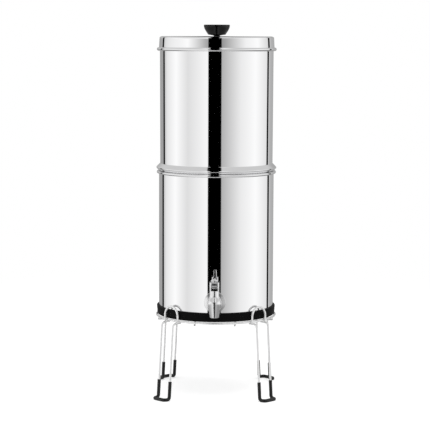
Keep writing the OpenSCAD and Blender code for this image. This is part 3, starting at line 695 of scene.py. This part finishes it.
def ear(side):
    """One ear beside the slot: the plan's round corners on the outside, and a flat inner face."""
    plan = rounded_plan(block_w, block_l, block_corner)
    plan = plan[plan[:, 0] * side > slot_w / 2]
    plan = plan[np.argsort(np.arctan2(plan[:, 1], plan[:, 0] * side))]
    reach = block_l / 2 - 0.05 * mm
    inner = side * slot_w / 2
    plan = np.vstack([[inner, -reach], plan, [inner, reach]])
    plan = plan if side > 0 else plan[::-1]
    return soft_slab(plan, slot_z - plug_sink, bonnet_high.z, block_edge)


base = soft_slab(rounded_plan(block_w, block_l, block_corner), body_top, slot_z, block_edge)
plug_outline = outline((0, bonnet_low.z), (plug_r, bonnet_low.z), (plug_r, body_top + plug_sink),
                       (0, body_top + plug_sink))
block = placed(join(base, ear(1), ear(-1), turned(plug_outline, turns=48)), 0, (0, spout_y, 0))
piece("tap_block", block, "lower_tank", tap_steel, ["tap_bonnet"])


# --- Lever, its pin, and the valve under it ------------------------------------------------------
# The lever is one steel casting: a sloping thumb plate, a hub on the pin, and a fork that lifts the
# stem's head. The stem, its silicone cup and the spring work unseen inside the body.
pin_low, pin_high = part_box("lever_pin")
pin_y, pin_z = (pin_low.y + pin_high.y) / 2, (pin_low.z + pin_high.z) / 2
pin_r = (pin_high.z - pin_low.z) / 2
lever_slope = 32
plate_t = 4 * mm
plate_l = 28 * mm
lever_hub_r = 3 * mm
fork_gap = 4.6 * mm
prong_t = 2.4 * mm
roller_r = 1.5 * mm


def across(radius, x0, x1, edge=0.3 * mm, turns=48):
    """A round bar that lies along X, with a small quarter round at both ends."""
    profile = outline((0, x0), arc((radius - edge, x0 + edge), edge, -90, 0, 4),
                      arc((radius - edge, x1 - edge), edge, 0, 90, 4), (0, x1))
    return placed(turned(profile, turns=turns), 90, axis=1)


straight = plate_l - lever_w / 2
plate_plan = np.vstack([arc((0, -straight), lever_w / 2, 180, 360, 24),
                        [[lever_w / 2, 0], [-lever_w / 2, 0]]])
plate = placed(soft_slab(plate_plan, -plate_t / 2, plate_t / 2, 0.9 * mm), -lever_slope, axis=0)
prong_w = (lever_w - fork_gap) / 2
pin_off = spout_y - pin_y
prongs = [part for x in (-lever_w / 2, fork_gap / 2) for part in (
    placed(soft_slab(rounded_plan(prong_w, pin_off, 0.3 * mm, 3), -prong_t / 2, prong_t / 2,
                     0.3 * mm), 0, (x + prong_w / 2, pin_off / 2, 0)),
    placed(across(roller_r, x, x + prong_w), 0, (0, pin_off, 0)))]
lever = placed(join(plate, across(lever_hub_r, -lever_w / 2, lever_w / 2), *prongs), 0,
               (0, pin_y, pin_z))
piece("tap_thumb_lever", lever, "lever", tap_steel, ["tap_lever"])
piece("tap_pin", placed(across(pin_r, pin_low.x, pin_high.x), 0, (0, pin_y, pin_z)),
      "lower_tank", tap_steel, ["lever_pin"])

stem_low, stem_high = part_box("valve_stem")
rod_r = 2 * mm
head_r = 3.3 * mm
head_t = 2 * mm
disc_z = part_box("seat_cup")[1].z
disc_r = stem_high.x
disc_t = 1.5 * mm
head_round = 0.5 * mm
stem_outline = outline(
    (0, stem_low.z), (rod_r, stem_low.z), (rod_r, disc_z), (disc_r, disc_z),
    (disc_r, disc_z + disc_t), (rod_r, disc_z + disc_t),
    (rod_r, stem_high.z - head_t), (head_r, stem_high.z - head_t),
    arc((head_r - head_round, stem_high.z - head_round), head_round, 0, 90, 5), (0, stem_high.z))
piece("valve_rod", turned(stem_outline, spout, 48), "valve", tap_steel,
      ["valve_stem"])

screw_steel = steel_finish("screw_steel", (0.75, 0.75, 0.75), 0.22, 0.002 * mm, 900.0)
for name, finish in (("seat_cup", silicone), ("knob_screw", screw_steel)):
    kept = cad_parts[name]
    kept.data.materials.clear()
    kept.data.materials.append(finish)


# --- Stand ring and cross bars -------------------------------------------------------------------
# All of the stand is 4 mm wire, welded where it crosses and then barrel-polished and plated to a
# pale satin shine. The closed ring carries the base band, and two pairs of bars lie under it.
wire_r = 2 * mm
weld_sink = 0.4 * mm
satin = steel_finish("satin_wire", (0.95, 0.95, 0.95), 0.3, 0.003 * mm, 1100.0, metal=0.75)
ring_low, ring_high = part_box("stand_ring")
ring_r = ring_high.x - wire_r
ring_z = (ring_low.z + ring_high.z) / 2
under_z = ring_z - 2 * wire_r + weld_sink


def swung(vector, axis, angles):
    """The vector turned about a unit axis by each angle: v cos t + (k x v) sin t + k (k.v)
    (1 - cos t)."""
    c, s = np.cos(angles)[:, None], np.sin(angles)[:, None]
    return vector * c + np.cross(axis, vector) * s + axis * np.dot(axis, vector) * (1 - c)


def bent(corners, bends, side, steps=14, hold=0.8 * mm):
    """Stations along a wire through its corner points, with a round bend at each inner corner:
    its places, its directions, and a side vector that is carried round every bend. A station is
    held a short way outside each bend, so that the straights shade straight."""
    corners = np.array(corners, float)
    side = np.array(side, float)
    ways = np.diff(corners, axis=0)
    ways /= np.linalg.norm(ways, axis=1, keepdims=True)
    places, heads, sides = [corners[:1]], [ways[:1]], [side[None]]
    for corner, radius, way, after in zip(corners[1:-1], bends, ways[:-1], ways[1:]):
        angle = math.acos(np.clip(np.dot(way, after), -1, 1))
        axis = np.cross(way, after) / math.sin(angle)
        inward = np.cross(axis, way)
        back = radius * math.tan(angle / 2)
        t = np.linspace(0, angle, steps + 1)
        turn = corner - way * back + inward * radius - swung(inward, axis, t) * radius
        end = swung(side, axis, t[-1:])
        places += [(corner - way * (back + hold))[None], turn,
                   (corner + after * (back + hold))[None]]
        heads += [way[None], swung(way, axis, t), after[None]]
        sides += [side[None], swung(side, axis, t), end]
        side = end[0]
    places.append(corners[-1:])
    heads.append(ways[-1:])
    sides.append(side[None])
    return np.vstack(places), np.vstack(heads), np.vstack(sides)


def wire(stations, radius=wire_r, sides=20, edge=0.5 * mm):
    """A round wire along stations: place + radius (cos a side + sin a (direction x side)). Both
    ends are drawn in by a small edge, as a cropped wire's are."""
    places, heads, across_ = stations
    reach = np.full(len(places), radius)
    first, last = heads[:1] * edge, heads[-1:] * edge
    places = np.vstack([places[:1], places[:1] + first, places[1:-1], places[-1:] - last,
                        places[-1:]])
    heads = np.vstack([heads[:1], heads, heads[-1:]])
    across_ = np.vstack([across_[:1], across_, across_[-1:]])
    reach = np.concatenate([[radius - edge], reach, [radius - edge]])
    a = np.linspace(0, 2 * np.pi, sides, endpoint=False)
    up = np.cross(heads, across_)
    ring = (np.cos(a)[None, :, None] * across_[:, None] + np.sin(a)[None, :, None] * up[:, None])
    grid = places[:, None] + reach[:, None, None] * ring
    count, last = sides, len(places) * sides
    faces = quads(len(places), sides)
    return grid.reshape(-1, 3), faces + [list(range(count))[::-1],
                                         list(range(last - count, last))]


def nugget(place, size, sides=16):
    """The small smooth swelling of a resistance weld: an ellipsoid with its three half sizes."""
    profile = np.vstack([(0, -1), arc((0, 0), 1, -75, 75, 10), (0, 1)])
    points, faces = turned(profile, turns=sides)
    return points * np.array(size) + np.array(place), faces


ring_outline = arc((ring_r, ring_z), wire_r, 0, 360, 24)[:-1]
piece("stand_hoop", turned(ring_outline, turns=256), "stand", satin,
      ["stand_ring"])

bar_low, bar_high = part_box("bars_front_back")
bar_x = bar_high.x - wire_r
cross_low, cross_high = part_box("bars_side_side")
bar_y = cross_high.y - wire_r
meeting = under_z + wire_r - weld_sink / 2
long_bars = [wire((np.array([[x, bar_low.y, under_z], [x, bar_high.y, under_z]]),
                   np.array([[0.0, 1, 0]] * 2), np.array([[1.0, 0, 0]] * 2))) for x in (-bar_x, bar_x)]
long_welds = [nugget((x, y, meeting), (2.2 * mm, 2.2 * mm, 1 * mm))
              for x in (-bar_x, bar_x)
              for y in (-math.sqrt(ring_r ** 2 - bar_x ** 2), math.sqrt(ring_r ** 2 - bar_x ** 2))]
piece("stand_long_bars", join(*long_bars, *long_welds), "stand", satin,
      ["bars_front_back"])

over_z = under_z + 2 * wire_r - weld_sink
knee = cross_high.x - 4 * mm - 4 * wire_r
dip = 4 * wire_r
cross_bars = [wire(bent(
    [(cross_low.x, y, under_z), (-knee, y, under_z), (dip - knee, y, over_z),
     (knee - dip, y, over_z), (knee, y, under_z), (cross_high.x, y, under_z)],
    [4 * wire_r] * 4, (0, 1, 0), steps=6)) for y in (-bar_y, bar_y)]
cross_welds = [nugget((x, y, meeting), (2.2 * mm, 2.2 * mm, 1 * mm))
               for y in (-bar_y, bar_y)
               for x in (-bar_x, bar_x, -math.sqrt(ring_r ** 2 - bar_y ** 2),
                         math.sqrt(ring_r ** 2 - bar_y ** 2))]
piece("stand_cross_bars", join(*cross_bars, *cross_welds), "stand", satin,
      ["bars_side_side"])


# --- Legs, feet and arches -----------------------------------------------------------------------
# Each leg is one wire bent into a long hairpin that runs out, down and out again into the foot. A
# sleeve of soft black vinyl is pushed over the foot, and an arch above keeps the filter in place.
leg_half = 15 * mm
leg_in = 7 * mm
leg_top_r = ring_r + 12 * mm
leg_foot_r = leg_top_r + 9.5 * mm
bar_r = leg_foot_r + 12 * mm
sleeve_r = 3.2 * mm
sleeve_h = 36 * mm
foot_flat = 0.3 * mm
foot_z = sleeve_r - foot_flat
leg_bends = [8 * mm, 5 * mm, 6.5 * mm, 6.5 * mm, 5 * mm, 8 * mm]
arch_half = 17 * mm
arch_r = math.sqrt((ring_r + 2 * wire_r - weld_sink) ** 2 - arch_half ** 2)
arch_low, arch_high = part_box("arch_front_right")
arch_top_z = arch_high.z - wire_r

vinyl, place, feed = new_finish("foot_vinyl", {"Specular IOR Level": 0.1, "Coat Roughness": 0.16})
smear = place.noise(90.0, 3.0)
feed("Base Color", smear.shade((0.002, 0.002, 0.002), (0.005, 0.005, 0.005)))
feed("Roughness", 0.3 + smear * 0.16)
feed("Coat Weight", 0.5 + smear * 0.4)
feed("Normal", smear.bump(0.08 * mm))

leg_corners = [
    (ring_r - leg_in, leg_half, under_z), (leg_top_r, leg_half, under_z),
    (leg_foot_r, leg_half, foot_z), (bar_r, leg_half, foot_z),
    (bar_r, -leg_half, foot_z), (leg_foot_r, -leg_half, foot_z),
    (leg_top_r, -leg_half, under_z), (ring_r - leg_in, -leg_half, under_z)]
shin = np.array(leg_corners[2]) - np.array(leg_corners[1])
sleeve_top = np.array(leg_corners[2]) + shin * (sleeve_h - foot_z) / shin[2]


def sleeve(stations, outer, inner, lip=0.4 * mm, sides=28):
    """A soft tube over a wire: rings of the outer radius along the stations, a rounded lip, and
    rings of the inner radius back again. What would pass below the floor is pressed flat."""
    places, heads, sides_ = stations
    count = len(places)
    order = np.concatenate([np.arange(count), [count - 1], np.arange(count)[::-1], [0]])
    reach = np.concatenate([np.full(count, outer), [outer - lip], np.full(count, inner),
                            [outer - lip]])
    shift = np.zeros(len(order))
    shift[0], shift[count - 1] = lip, -lip
    a = np.linspace(0, 2 * np.pi, sides, endpoint=False)
    up = np.cross(heads, sides_)
    ring = np.cos(a)[None, :, None] * sides_[:, None] + np.sin(a)[None, :, None] * up[:, None]
    grid = (places[order] + heads[order] * shift[:, None])[:, None] + \
        reach[:, None, None] * ring[order]
    points = grid.reshape(-1, 3)
    points[:, 2] = np.maximum(points[:, 2], 0.0)
    return points, quads(len(order), sides, loop=True)


sleeve_corners = [tuple(sleeve_top), *leg_corners[2:6],
                  (sleeve_top[0], -sleeve_top[1], sleeve_top[2])]
leg_part = join(
    wire(bent(leg_corners, leg_bends, (0, 1, 0))),
    *[nugget((math.sqrt(ring_r ** 2 - leg_half ** 2), y, meeting), (2.6 * mm, 2.4 * mm, 1 * mm))
      for y in (-leg_half, leg_half)])
foot_part = sleeve(bent(sleeve_corners, leg_bends[1:5], (0, 1, 0)), sleeve_r, wire_r + 0.05 * mm)
arch_bend = arc((0, arch_top_z - arch_half), arch_half, 0, 180, 40)
arch_feet_z = arch_low.z
arch_places = np.vstack([[(arch_r, arch_half, arch_feet_z)],
                         [(arch_r, arch_half, arch_top_z - arch_half - 0.8 * mm)],
                         np.column_stack([np.full(41, arch_r), arch_bend]),
                         [(arch_r, -arch_half, arch_top_z - arch_half - 0.8 * mm)],
                         [(arch_r, -arch_half, arch_feet_z)]])
arch_turn = np.radians(np.concatenate([[0, 0], np.linspace(0, 180, 41), [180, 180]]))
arch_heads = np.column_stack([0 * arch_turn, -np.sin(arch_turn), np.cos(arch_turn)])
arch_part = join(
    wire((arch_places, arch_heads, np.tile([1.0, 0, 0], (len(arch_places), 1)))),
    *[nugget((arch_r - wire_r + weld_sink / 2, y, ring_z), (1 * mm, 2.2 * mm, 2.6 * mm))
      for y in (-arch_half, arch_half)])
for spot, turn in (("front_right", -45), ("back_right", 45), ("back_left", 135),
                   ("front_left", -135)):
    piece("hairpin_leg_" + spot, placed(leg_part, turn), "stand", satin,
          ["leg_" + spot])
    piece("foot_sleeve_" + spot, placed(foot_part, turn), "stand", vinyl,
          ["foot_" + spot])
    piece("keeper_arch_" + spot, placed(arch_part, turn), "stand", satin,
          ["arch_" + spot])


# --- Return spring -------------------------------------------------------------------------------
# A coil of bright spring wire with closed ends round the valve's stem. It pushes the seat cup down,
# and is pressed shorter from below when the lever lifts the stem.
spring_low, spring_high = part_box("return_spring")
coil_wire_r = 0.45 * mm
coil_r = (spring_high.x - spring_low.x) / 2 - coil_wire_r
coil_turns = 6
spring_steel, place, feed = new_finish("spring_wire", {"Metallic": 1.0})
drawn = place.noise(800.0)
feed("Base Color", drawn.shade((0.55, 0.55, 0.56), (0.66, 0.66, 0.67)))
feed("Roughness", 0.25 + drawn * 0.1)


def coil(radius, low, high, turns, closed=0.8):
    """Stations along a helix. The height rises by t less closed * sin(2 pi t) / 2 pi, so that the
    end turns lie closer together than those between them."""
    t = np.linspace(0, 1, turns * 24 + 1)
    a = 2 * np.pi * turns * t
    z = low + (high - low) * (t - closed * np.sin(2 * np.pi * t) / (2 * np.pi))
    places = np.stack([radius * np.cos(a), spout_y + radius * np.sin(a), z], axis=1)
    heads = np.gradient(places, axis=0)
    heads /= np.linalg.norm(heads, axis=1, keepdims=True)
    return places, heads, np.stack([np.cos(a), np.sin(a), 0 * a], axis=1)


spring = piece("valve_spring", wire(
    coil(coil_r, spring_low.z + coil_wire_r, spring_high.z - coil_wire_r, coil_turns),
    coil_wire_r, sides=10, edge=0.1 * mm),
    "lower_tank", spring_steel, ["return_spring"])
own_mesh(spring)


# --- Studio --------------------------------------------------------------------------------------
# A white sweep, one large soft lamp above and a weaker one at the left. Polished steel shows what
# stands round it: white panels, one black card round the lens and two narrow ones further back.
camera_way = 1.1
camera_far = 3.092
camera_up = 0.675
camera_dip = 6.27
camera_roll = -0.2
camera = bpy.data.objects.new("camera", bpy.data.cameras.new("camera"))
camera.data.lens = 137.7
camera.location = (camera_far * math.sin(math.radians(camera_way)),
                   -camera_far * math.cos(math.radians(camera_way)), camera_up)
camera.rotation_euler = [math.radians(angle) for angle in
                         (90 - camera_dip, camera_roll, camera_way + 0.064)]
bpy.context.collection.objects.link(camera)
bpy.context.scene.camera = camera

# The white panels round the object: how bright each is, by the angle from the lens, positive to the
# right. The chambers mirror those level with them, the lid's edge the upper ones, the spout the lower.
level_panels = ((-180, 0.35), (-140, 0.35), (-120, 0.8), (-90, 1.0), (-60, 0.75), (-20, 0.95),
                (10, 0.45), (50, 0.85), (85, 1.0), (120, 0.8), (140, 0.45), (180, 0.35))
upper_panels = ((-180, 0.35), (-110, 0.8), (-60, 1.0), (-20, 0.4), (10, 0.3), (60, 0.9),
                (90, 1.0), (140, 0.45), (180, 0.35))
lower_panels = ((-180, 0.3), (-90, 0.4), (-20, 0.9), (10, 0.25), (30, 0.45), (60, 0.3), (180, 0.3))
# Black cards in front of the panels, each from one angle to another
cards = ((-138, -131), (-16, 9), (125, 131))
# Overhead, the brightness goes by how far back a direction points, in hundredths, and the card
# round the lens reaches over the top
ceiling = ((-100, 1.0), (-40, 1.0), (-15, 0.6), (20, 0.6), (50, 0.5), (100, 0.5))
ceiling_card = (-15, 8)
world = bpy.data.worlds.new("studio")
bpy.context.scene.world = world
world.use_nodes = True
world.cycles.sampling_method = "NONE"
tree = world.node_tree
looking = Flow(tree, tree.nodes.new("ShaderNodeTexCoord").outputs["Generated"])
x, y, z = looking.part(0), looking.part(1), looking.part(2)
angle = looking.maths("ARCTAN2", x, 0 - y) * (180 / math.pi) - camera_way
turn = looking.maths("FRACT", angle * (1 / 360) + 0.5) - 0.5
degrees = turn * 360


def row(number, stops, span):
    """The brightness at a number from -1/2 to 1/2, from stops whose places span that range."""
    return (number + 0.5).ramp(*[(place / span + 0.5, level) for place, level in stops])


def climb(number, start, stop):
    """Rises smoothly from 0 to 1 while the number goes from start to stop."""
    return looking.node("ShaderNodeMapRange", {"interpolation_type": "SMOOTHSTEP"},
                        {"Value": number, "From Min": start, "From Max": stop})


def blend(under, over, share):
    return under * (1 - share) + over * share


def uncovered(number, start, stop, soft):
    """0 on a black card, and 1 beside it, with a soft edge outside the card."""
    return 1 - climb(number, start - soft, start) * (1 - climb(number, stop, stop + soft))


side_sky = 0.6
ground = 0.6
card_edge = 1.5
clear_of_cards = 1.0
for start, stop in cards:
    clear_of_cards = uncovered(degrees, start, stop, card_edge) * clear_of_cards
sky = blend(row(y * 0.5, ceiling, 200), side_sky, climb(looking.maths("ABSOLUTE", x), 0.2, 0.5))
sky = sky * uncovered(x * 100, *ceiling_card, 3)
walls = blend(row(turn, lower_panels, 360), row(turn, level_panels, 360), climb(z, -0.35, -0.2))
walls = blend(walls, row(turn, upper_panels, 360), climb(z, 0, 0.1))
mirrored = blend(ground, walls * clear_of_cards, climb(z, -0.85, -0.7))
mirrored = blend(mirrored, sky, climb(z, 0.25, 0.5))
path = tree.nodes.new("ShaderNodeLightPath")
seen = Flow(tree, path.outputs["Is Camera Ray"])
shine = looking.maths("MAXIMUM", Flow(tree, path.outputs["Is Glossy Ray"]),
                      Flow(tree, path.outputs["Is Transmission Ray"]))
plain = 0.62
panel_light = 1.1
level = plain * (1 - shine) + mirrored * panel_light * shine
background = tree.nodes["Background"]
tree.links.new((level * (1 - seen) + seen).socket, background.inputs["Color"])

floor_r = 2.4
floor_points = np.vstack([np.column_stack([floor_r * np.cos(np.linspace(0, 2 * np.pi, 96, False)),
                                           floor_r * np.sin(np.linspace(0, 2 * np.pi, 96, False)),
                                           np.zeros(96)]), [[0, 0, 0]]])
floor_mesh = bpy.data.meshes.new("floor")
floor_mesh.from_pydata(floor_points.tolist(), [], fan(np.arange(96), 96, outward=False))
floor = bpy.data.objects.new("floor", floor_mesh)
bpy.context.collection.objects.link(floor)
paper = bpy.data.materials.new("white_sweep")
paper.use_nodes = True
floor_mesh.materials.append(paper)
tree = paper.node_tree
tree.nodes.clear()
place = Flow(tree, tree.nodes.new("ShaderNodeTexCoord").outputs["Object"])
path = tree.nodes.new("ShaderNodeLightPath")
away = (place.part(0) ** 2 + place.part(1) ** 2) ** 0.5
fade = place.node("ShaderNodeMapRange", {"interpolation_type": "SMOOTHSTEP"},
                  {"Value": away, "From Min": 0.5, "From Max": 1.6})
lit = place.node("ShaderNodeBsdfDiffuse", {}, {"Color": (0.9, 0.9, 0.9, 1)})
glow = place.node("ShaderNodeEmission", {}, {"Color": (1, 1, 1, 1), "Strength": 0.4})
clear = place.node("ShaderNodeBsdfTransparent")
sheet_white = place.node("ShaderNodeAddShader", {}, {0: lit, 1: glow})
through = place.maths("MAXIMUM", Flow(tree, path.outputs["Is Glossy Ray"]),
                      fade * Flow(tree, path.outputs["Is Camera Ray"]))
mixed = place.node("ShaderNodeMixShader", {}, {0: through, 1: sheet_white, 2: clear})
target = tree.nodes.new("ShaderNodeOutputMaterial")
tree.links.new(mixed.socket, target.inputs["Surface"])


def lamp(name, watts, size, place, aim):
    """A square soft lamp at a place, turned towards a point. Polished steel doesn't show it."""
    light = bpy.data.lights.new(name, "AREA")
    light.energy = watts
    light.size = size
    made = bpy.data.objects.new(name, light)
    way = np.array(aim, float) - np.array(place, float)
    flat = math.hypot(way[0], way[1])
    made.rotation_euler = (math.atan2(flat, -way[2]), 0, math.atan2(-way[0], way[1]))
    made.location = place
    made.visible_glossy = False
    made.visible_camera = False
    bpy.context.collection.objects.link(made)


lamp("lamp_above", 26.0, 2.2, (0.3, -0.6, 2.6), (0, 0, 0.2))
lamp("lamp_left", 12.0, 1.4, (-2.2, -1.4, 1.4), (0, 0, 0.35))

scene = bpy.context.scene
scene.view_settings.view_transform = "Standard"
